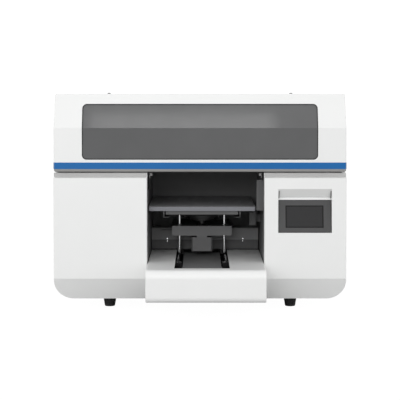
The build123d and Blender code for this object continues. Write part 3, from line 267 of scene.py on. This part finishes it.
MATERIALS = {
    "white_paint": finish_material("white_paint", (0.80, 0.805, 0.80), 0.36, 0.0016, 0.10, 0.006,
                                   coat=0.15),
    "grey_paint": finish_material("grey_paint", (0.27, 0.27, 0.265), 0.42, 0.0014, 0.15, 0.03),
    "blue_trim": finish_material("blue_trim", (0.004, 0.118, 0.360), 0.35, 0.002, 0.05, 0.03,
                                 Specular_IOR_Level=0.3),
    "smoked_acrylic": smoked_acrylic(),
    "black_rubber": finish_material("black_rubber", (0.022, 0.022, 0.022), 0.7, 0.0008, 0.35, 0.15),
    "black_sheet": finish_material("black_sheet", (0.150, 0.151, 0.153), 0.55, 0.0010, 0.25, 0.08),
    "galvanised": finish_material("galvanised", (0.50, 0.51, 0.52), 0.38, 0.012, 0.08, 0.10,
                                  metallic=1.0, cloud=0.02),
    "frame_steel": finish_material("frame_steel", (0.05, 0.05, 0.052), 0.45, 0.0012, 0.2, 0.08),
    "bed_aluminium": finish_material("bed_aluminium", (0.215, 0.218, 0.240), 0.42, 0.0006, 0.12,
                                     0.05, metallic=0.3, stretch=(0.05, 1, 1)),
    "dark_aluminium": finish_material("dark_aluminium", (0.160, 0.160, 0.162), 0.45, 0.0006, 0.12,
                                      0.05, metallic=0.35, stretch=(0.08, 1, 1)),
    "bare_aluminium": finish_material("bare_aluminium", (0.60, 0.61, 0.62), 0.46, 0.0005, 0.15,
                                      0.04, metallic=0.8, stretch=(0.05, 1, 1)),
    "polished_steel": finish_material("polished_steel", (0.86, 0.87, 0.88), 0.12, 0.0008, 0.02,
                                      0.03, metallic=1.0, rough_spread=0.04),
    "black_oxide": finish_material("black_oxide", (0.05, 0.05, 0.052), 0.25, 0.0007, 0.05, 0.08,
                                   metallic=0.8),
    "motor_case": finish_material("motor_case", (0.155, 0.155, 0.157), 0.5, 0.0009, 0.15, 0.05),
    "panel_plastic": finish_material("panel_plastic", (0.046, 0.046, 0.047), 0.5, 0.0007, 0.2, 0.04),
    "panel_glass": finish_material("panel_glass", (0.004, 0.004, 0.004), 0.16, 0.02, 0.003, 0.03,
                                   rough_spread=0.03, Specular_IOR_Level=0.25),
    "head_plastic": finish_material("head_plastic", (0.09, 0.09, 0.095), 0.45, 0.0007, 0.15, 0.05),
    "belt_rubber": finish_material("belt_rubber", (0.025, 0.025, 0.025), 0.65, 0.0006, 0.3, 0.1),
    "tank_plastic": finish_material("tank_plastic", (0.66, 0.68, 0.70), 0.4, 0.003, 0.06, 0.03),
    "board": finish_material("board", (0.012, 0.10, 0.045), 0.35, 0.0012, 0.1, 0.15),
    "bolt_black": finish_material("bolt_black", (0.03, 0.03, 0.03), 0.35, 0.0005, 0.1, 0.1,
                                  metallic=0.7),
    "display": finish_material("display", (0.019, 0.019, 0.020), 0.22, 0.01, 0.003, 0.04,
                               rough_spread=0.03, Specular_IOR_Level=0.25),
    # Grey for the rim strips: painted shade under the lid's overhang.
    "rim_shade_strip": finish_material("rim_shade_strip", (0.46, 0.46, 0.455), 0.8, 0.0012, 0.35, 0.05),
    "shield_sheet": finish_material("shield_sheet", (0.15, 0.15, 0.15), 0.5, 0.0010, 0.2),
    "flange_steel": finish_material("flange_steel", (0.15, 0.15, 0.152), 0.45, 0.0008, 0.12),
    "guard_sheet": finish_material("guard_sheet", (0.15, 0.15, 0.152), 0.55, 0.0010, 0.25),
    "channel_sheet": finish_material("channel_sheet", (0.1, 0.1, 0.1), 0.45, 0.0008, 0.12),
    "bright_chrome": finish_material("bright_chrome", (0.97, 0.975, 0.98), 0.12, 0.0008, 0.02, 0.01,
                                     metallic=1.0, coat=0.5, rough_spread=0.03),
}
FACES_UP = (0.4, 0.8)  # how far a face's normal leans up where the tone changes
TONE_EDGE = 0.5 * MM  # half the height over which a tone changes


def two_tone(name, upper, lower, height=None):
    """Paint light and shade into a material's colour: change it above a height of the model, or where
    faces look up.
    """
    material = MATERIALS[name]
    graph, links = material.node_tree.nodes, material.node_tree.links
    if height is None:
        source = graph.new("ShaderNodeNewGeometry").outputs["Normal"]
        limits = FACES_UP
    else:
        source = graph.new("ShaderNodeTexCoord").outputs["Object"]
        limits = (height - TONE_EDGE, height + TONE_EDGE)
    split = graph.new("ShaderNodeSeparateXYZ")
    links.new(source, split.inputs["Vector"])
    share = graph.new("ShaderNodeMapRange")
    share.inputs["From Min"].default_value, share.inputs["From Max"].default_value = limits
    links.new(split.outputs["Z"], share.inputs["Value"])
    texture = next(node for node in graph if node.type == "TEX_NOISE")
    mix = graph.new("ShaderNodeMix")
    mix.data_type = "RGBA"
    links.new(share.outputs["Result"], mix.inputs["Factor"])
    links.new(shades(graph, links, texture.outputs["Fac"], lower, 0.05), mix.inputs["A"])
    links.new(shades(graph, links, texture.outputs["Fac"], upper, 0.05), mix.inputs["B"])
    links.new(mix.outputs["Result"], graph["Principled BSDF"].inputs["Base Color"])


SHIELD_SHADE_HEIGHT = 31 * MM  # height of the back shield's lower part, painted darker as shade under its upper band
FLANGE_SHADE_DROP = 16 * MM  # from the flange's top down to where the part is painted near black as shade
GUARD_SHADE_DROP = 12 * MM  # from the bed's underside to the gap between guard plate and sensor bracket; above it the sheet is painted darker as shade under the bed
LIP_SHADE_HEIGHT = 10 * MM  # side lips at the foot of the bed's channel, painted near black as shade under the bed

# Painted light: the bed's upward faces are coloured lighter than its sides, for the light falling on
# its top.
two_tone("bed_aluminium", (0.36, 0.36, 0.375), (0.185, 0.188, 0.205))
# Painted shade: the back shield's lower part is coloured darker, for the shadow under its upper band.
two_tone("shield_sheet", (0.21, 0.21, 0.212), (0.085, 0.085, 0.087),
         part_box("back_shield")[0].z + SHIELD_SHADE_HEIGHT)
# Painted shade: the lift flange is coloured near black below this height, for the shadow beneath it.
two_tone("flange_steel", (0.135, 0.135, 0.137), (0.02, 0.02, 0.02),
         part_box("lift_flange")[1].z - FLANGE_SHADE_DROP)
# Painted shade: the cavity brackets are coloured darker near the bed's underside, for the shadow the
# bed casts.
two_tone("guard_sheet", (0.088, 0.088, 0.09), (0.15, 0.15, 0.152),
         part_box("print_bed")[0].z - GUARD_SHADE_DROP)
# Painted shade: the bed channel's lips are coloured near black, for the shadow under the bed.
two_tone("channel_sheet", (0.098, 0.098, 0.10), (0.018, 0.018, 0.018),
         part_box("bed_channel")[0].z + LIP_SHADE_HEIGHT)

# Nodes whose finish differs from their slot's
OWN_FINISH = {"back_shield": "shield_sheet", "lift_flange": "flange_steel",
              "cavity_brackets": "guard_sheet", "bed_channel": "channel_sheet",
              "guide_rods": "bright_chrome"}

for part in frame["record"]["subparts"]:
    mesh = nodes[part["node"]].data
    mesh.materials.clear()
    mesh.materials.append(MATERIALS[OWN_FINISH.get(part["node"], part["material_slot"])])


# ---------------------------------------------------------------- detail pieces

AXES = {"+Y": (0, 1, 0), "-Y": (0, -1, 0), "+Z": (0, 0, 1)}
UPRIGHT = Matrix.Identity(3)
SHARP_EDGE = math.radians(35)

# A screw head: its bevelled rim, and its socket's top and floor radius, as shares of its radius,
# and the floor's place as a share of its height
HEAD_RIM, SOCKET_TOP, SOCKET_FLOOR, SOCKET_DEPTH = 0.12, 0.56, 0.52, 0.45


def finish_piece(name, form, body, slot, finish=None):
    """Turn a bmesh into a piece that rides on body, with the slot's finish or one of its own."""
    bmesh.ops.remove_doubles(form, verts=form.verts, dist=1e-7)
    bmesh.ops.recalc_face_normals(form, faces=form.faces)
    mesh = bpy.data.meshes.new(name)
    form.to_mesh(mesh)
    form.free()
    mesh.materials.append(MATERIALS[finish or slot])
    mesh.shade_smooth()
    mesh.set_sharp_from_angle(angle=SHARP_EDGE)
    piece = bpy.data.objects.new(name, mesh)
    scene.collection.objects.link(piece)
    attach(piece, body)
    return piece


def join_rings(form, rings):
    """Skin a stack of rings and close both ends."""
    for low, high in zip(rings, rings[1:]):
        for i in range(len(low)):
            j = (i + 1) % len(low)
            form.faces.new((low[i], low[j], high[j], high[i]))
    form.faces.new(rings[0][::-1])
    form.faces.new(rings[-1])


def turned(form, profile, place, axis, flats, steps=32):
    """Add a closed turned shape; profile is (radius, height) pairs and flats marks hexagonal rings."""
    turn = Vector((0, 0, 1)).rotation_difference(Vector(AXES[axis])).to_matrix()
    rings = []
    for index, (radius, height) in enumerate(profile):
        ring = []
        for step in range(steps):
            angle = 2 * math.pi * step / steps
            reach = radius
            if index in flats:
                reach *= math.cos(math.pi / 6) / math.cos(angle % (math.pi / 3) - math.pi / 6)
            spot = Vector((reach * math.cos(angle), reach * math.sin(angle), height))
            ring.append(form.verts.new(Vector(place) + turn @ spot))
        rings.append(ring)
    join_rings(form, rings)


def cap_screws(name, body, slot, places, radius, axis, height=None):
    """Socket-head screws standing on a face."""
    high = height or radius * 0.9
    rim = radius * HEAD_RIM
    profile = [(radius, 0), (radius, high - rim), (radius - rim, high), (radius * SOCKET_TOP, high),
               (radius * SOCKET_FLOOR, high * SOCKET_DEPTH)]
    socket_rings = (3, 4)
    form = bmesh.new()
    for place in places:
        turned(form, profile, place, axis, socket_rings)
    finish_piece(name, form, body, slot)


def rounded_plate(form, width, height, thickness, corner, turn, middle, bevel):
    """Add a plate with round corners in the XZ plane, facing -Y before the turn."""
    outline = []
    for cx, cz, start in ((1, 1, 0), (-1, 1, 90), (-1, -1, 180), (1, -1, 270)):
        for step in range(7):
            angle = math.radians(start + 15 * step)
            outline.append((cx * (width / 2 - corner) + corner * math.cos(angle),
                            cz * (height / 2 - corner) + corner * math.sin(angle)))
    rings = []
    for y, shrink in ((0.0, 0.0), (bevel - thickness, 0.0), (-thickness, bevel)):
        ring = []
        for x, z in outline:
            spot = Vector((x * (1 - 2 * shrink / width), y, z * (1 - 2 * shrink / height)))
            ring.append(form.verts.new(Vector(middle) + turn @ spot))
        rings.append(ring)
    join_rings(form, rings)


# Touch panel: a display area on the glass.
PANEL_LEAN = math.atan2(18.0, 103.0)  # the panel leans back 18 mm over 103 mm of height
DISPLAY_W, DISPLAY_H, DISPLAY_T = 106 * MM, 60 * MM, 0.35 * MM
GLASS_FACE = 1.4 * MM  # from the screen's middle to the back of the display area
panel_turn = Matrix.Rotation(-PANEL_LEAN, 3, "X")
screen_low, screen_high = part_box("hmi_screen")
outward = panel_turn @ Vector((0, -1, 0))
screen_middle = (screen_low + screen_high) / 2 + outward * GLASS_FACE
form = bmesh.new()
rounded_plate(form, DISPLAY_W, DISPLAY_H, DISPLAY_T, 1.0 * MM, panel_turn, screen_middle, 0.15 * MM)
finish_piece("hmi_display", form, "base", "panel_glass", "display")

# Cap screws on the rear panel, the fan, the rail, the platform, the beam and the hinges.
panel_low, panel_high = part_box("rear_panel")
PANEL_SIDE, PANEL_FOOT, PANEL_HEAD = 16 * MM, 9 * MM, 20 * MM  # screws from the panel's edges
side_rows = (panel_low.z + 60 * MM, (panel_low.z + panel_high.z) / 2, panel_high.z - 22 * MM)
sides = (panel_low.x + PANEL_SIDE, panel_high.x - PANEL_SIDE)
spots = [(x, panel_high.y, z) for z in side_rows for x in sides]
spots += [(x * MM, panel_high.y, panel_low.z + PANEL_FOOT) for x in (-330, -110, 110, 225)]
spots += [(x * MM, panel_high.y, panel_high.z - PANEL_HEAD) for x in (-200, 0, 200)]
cap_screws("rear_panel_screws", "base", "bolt_black", spots, 3.2 * MM, "+Y", 1.7 * MM)

FAN_CORNER = 8 * MM  # fan screws from the frame's edges
fan_low, fan_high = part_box("fan_frame")
spots = [(x, panel_high.y, z) for x in (fan_low.x + FAN_CORNER, fan_high.x - FAN_CORNER)
         for z in (fan_low.z + FAN_CORNER, fan_high.z - FAN_CORNER)]
cap_screws("fan_screws", "base", "bolt_black", spots, 3.0 * MM, "+Y", 1.7 * MM)

# Rail screws sit in the rail, and stand out less than the rail block's clearance.
RAIL_START, RAIL_PITCH, RAIL_SCREWS, RAIL_SINK = 20 * MM, 60 * MM, 13, 0.45 * MM
rail_low, rail_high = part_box("x_linear_rail")
middle_z = (rail_low.z + rail_high.z) / 2
spots = [(rail_low.x + RAIL_START + RAIL_PITCH * i, rail_low.y + RAIL_SINK, middle_z)
         for i in range(RAIL_SCREWS)]
cap_screws("rail_screws", "base", "bolt_black", spots, 3.4 * MM, "-Y", 0.6 * MM)

PLATFORM_ROW, PLATFORM_SIDE, MOTOR_SCREW_X = 18 * MM, 8 * MM, 23 * MM
TAB_SCREW_DROP = 22 * MM  # from the platform's top to the screw in its front tab
lift_low, lift_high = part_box("lift_platform")
middle_x = (lift_low.x + lift_high.x) / 2
spots = [(x, lift_low.y + PLATFORM_ROW, lift_high.z)
         for x in (lift_low.x + PLATFORM_SIDE, lift_high.x - PLATFORM_SIDE,
                   middle_x - MOTOR_SCREW_X, middle_x + MOTOR_SCREW_X)]
cap_screws("platform_screws", "bed_carriage", "bolt_black", spots, 2.8 * MM, "+Z")
spots = [(middle_x, lift_low.y + 0.1 * MM, lift_high.z - TAB_SCREW_DROP)]
cap_screws("platform_front_screw", "bed_carriage", "motor_case", spots, 2.2 * MM, "-Y", 0.4 * MM)

beam_low, beam_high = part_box("x_beam")
BEAM_SIDE = 12 * MM  # beam screws from the beam's front and back
spots = [(x, y, beam_high.z - 0.1 * MM)
         for x in (beam_low.x + 20 * MM, beam_high.x - 30 * MM)
         for y in (beam_low.y + BEAM_SIDE, beam_high.y - BEAM_SIDE)]
cap_screws("beam_screws", "base", "polished_steel", spots, 4.2 * MM, "+Z")

HINGE_X, HINGE_SCREW_X, HINGE_SCREW_DROP = 300 * MM, 13 * MM, 10 * MM
leaf_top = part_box("hinge_lid_leaves")[1]
for hinge_x, name in ((-HINGE_X, "left"), (HINGE_X, "right")):
    spots = [(hinge_x + x, leaf_top.y - 0.05 * MM, leaf_top.z - HINGE_SCREW_DROP)
             for x in (-HINGE_SCREW_X, HINGE_SCREW_X)]
    cap_screws("hinge_screws_" + name, "lid", "bolt_black", spots, 2.6 * MM, "+Y", 1.2 * MM)

# Small grey brackets in the opening's top corners, under the lid.
BRACKET_T, BRACKET_DEPTH, BRACKET_INSET, PLATE_BEVEL = 1.6 * MM, 34 * MM, 4 * MM, 0.4 * MM
rim_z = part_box("left_housing")[1].z
tray_low, tray_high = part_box("front_tray")
for x, side, name in ((tray_low.x + BRACKET_INSET, 1, "left"),
                      (tray_high.x - BRACKET_INSET, -1, "right")):
    form = bmesh.new()
    rounded_plate(form, 9 * MM, 9 * MM, BRACKET_T, 1.5 * MM, UPRIGHT,
                  (x + side * 4.5 * MM, FRONT_Y + BRACKET_DEPTH, rim_z - 6 * MM), PLATE_BEVEL)
    rounded_plate(form, 2 * MM, 14 * MM, BRACKET_T, 0.8 * MM, UPRIGHT,
                  (x + side * 1.0 * MM, FRONT_Y + BRACKET_DEPTH, rim_z - 10 * MM), PLATE_BEVEL)
    finish_piece("corner_bracket_" + name, form, "base", "grey_paint")

# Grey strips on the housings' stepped-back rims, which the lid closes over: painted shade for the
# shadow under the lid's overhang.
RIM_BACK, RIM_HIGH, SHADE_STRIP_T = 12 * MM, 13 * MM, 1.8 * MM
for housing, name in (("left_housing", "left"), ("right_housing", "right")):
    house_low, house_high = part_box(housing)
    form = bmesh.new()
    middle = ((house_low.x + house_high.x) / 2, FRONT_Y + RIM_BACK + 0.1 * MM, rim_z - RIM_HIGH / 2)
    rounded_plate(form, house_high.x - house_low.x - 3 * MM, RIM_HIGH - 1.5 * MM, SHADE_STRIP_T, 2.0 * MM,
                  UPRIGHT, middle, PLATE_BEVEL)
    finish_piece("rim_shade_strip_" + name, form, "base", "black_rubber", "rim_shade_strip")

# Grey strips down both sides of the touch panel's pocket: painted shade for the dark gaps there.
POCKET_STRIP_T, POCKET_STRIP_RISE = 2.8 * MM, 29 * MM  # the strips start this far above the bezel
bezel_low, bezel_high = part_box("hmi_bezel")
for x, name in ((bezel_low.x - 0.2 * MM, "left"), (bezel_high.x - 2.6 * MM, "right")):
    form = bmesh.new()
    top, front, back = bezel_high.z + POCKET_STRIP_RISE, FRONT_Y + 0.4 * MM, FRONT_Y + 19 * MM
    section = [(front, top), (back, bezel_high.z + 6 * MM),
               (back, bezel_high.z + 4 * MM), (front, top - 3 * MM)]
    join_rings(form, [[form.verts.new((at, y, z)) for y, z in section] for at in (x, x + POCKET_STRIP_T)])
    bmesh.ops.bevel(form, geom=form.edges[:], offset=0.3 * MM, segments=2, affect="EDGES")
    finish_piece("pocket_shade_strip_" + name, form, "base", "grey_paint")


BELT_PITCH = 3 * MM
# One tooth: each corner's place as a share of the pitch, and how thick the belt is there
BELT_TOOTH = ((0.0, 0.7 * MM), (0.12, 1.4 * MM), (0.45, 1.4 * MM), (0.57, 0.7 * MM))


def toothed_belt(name, node, along):
    """Replace a plain belt loop with one that has teeth inside; along is its long axis, 0 or 1."""
    low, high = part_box(node)
    across = (low[1 - along], high[1 - along])
    radius = (high.z - low.z) / 2
    start, end = low[along] + radius, high[along] - radius
    middle = (low.z + high.z) / 2
    run, bend = end - start, math.pi * radius
    loop = 2 * (run + bend)
    teeth = round(loop / BELT_PITCH)
    form = bmesh.new()
    rings = []
    for tooth in range(teeth):
        for share, depth in BELT_TOOTH:
            s = loop * (tooth + share) / teeth
            if s < run:
                base, out = (start + s, middle), (0.0, 1.0)
            elif s < run + bend:
                angle = math.pi / 2 - (s - run) / radius
                base, out = (end, middle), (math.cos(angle), math.sin(angle))
            elif s < 2 * run + bend:
                base, out = (end - (s - run - bend), middle), (0.0, -1.0)
            else:
                angle = -math.pi / 2 - (s - 2 * run - bend) / radius
                base, out = (start, middle), (math.cos(angle), math.sin(angle))
            ring = []
            for reach, order in ((radius, across), (radius - depth, across[::-1])):
                for side in order:
                    spot = [0.0, 0.0, base[1] + reach * out[1]]
                    spot[along] = base[0] + reach * out[0]
                    spot[1 - along] = side
                    ring.append(form.verts.new(spot))
            rings.append(ring)
    for low_ring, high_ring in zip(rings, rings[1:] + rings[:1]):
        for i in range(4):
            j = (i + 1) % 4
            form.faces.new((low_ring[i], low_ring[j], high_ring[j], high_ring[i]))
    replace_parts(finish_piece(name, form, "base", "belt_rubber"), node)


toothed_belt("x_toothed_belt", "x_belt", 0)
toothed_belt("y_toothed_belt", "y_belt", 1)

COUPLING_R, COUPLING_H = 10 * MM, 26 * MM
COUPLING_BEVEL = 0.6 * MM
THREAD_R, THREAD_CUT, LEAD, STARTS = 6 * MM, 1.1 * MM, 10 * MM, 4
THREAD_ROWS, THREAD_STEPS = 240, 48


def threaded_screw():
    """Replace the lead screw: a right-handed thread of four starts over its plain coupling."""
    low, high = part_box("lead_screw")
    middle = (low + high) / 2
    coupling_top = low.z + COUPLING_H
    thread_top = high.z - 1.0 * MM
    levels = [(low.z, COUPLING_R - COUPLING_BEVEL), (low.z + COUPLING_BEVEL, COUPLING_R),
              (coupling_top - COUPLING_BEVEL, COUPLING_R), (coupling_top, COUPLING_R - COUPLING_BEVEL)]
    for row in range(THREAD_ROWS + 1):
        levels.append((coupling_top + (thread_top - coupling_top) * row / THREAD_ROWS, None))
    levels.append((high.z, THREAD_R - 1.4 * MM))
    form = bmesh.new()
    rings = []
    for z, radius in levels:
        ring = []
        for step in range(THREAD_STEPS):
            angle = 2 * math.pi * step / THREAD_STEPS
            phase = (STARTS * (z / LEAD - angle / (2 * math.pi))) % 1.0
            cut = min(1.0, max(0.0, 4 * abs(phase - 0.5) - 0.5))
            reach = radius or THREAD_R - THREAD_CUT * cut
            ring.append(form.verts.new((middle.x + reach * math.cos(angle),
                                        middle.y + reach * math.sin(angle), z)))
        rings.append(ring)
    join_rings(form, rings)
    piece = finish_piece("threaded_lead_screw", form, "lead_screw", "black_oxide")
    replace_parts(piece, "lead_screw")


threaded_screw()
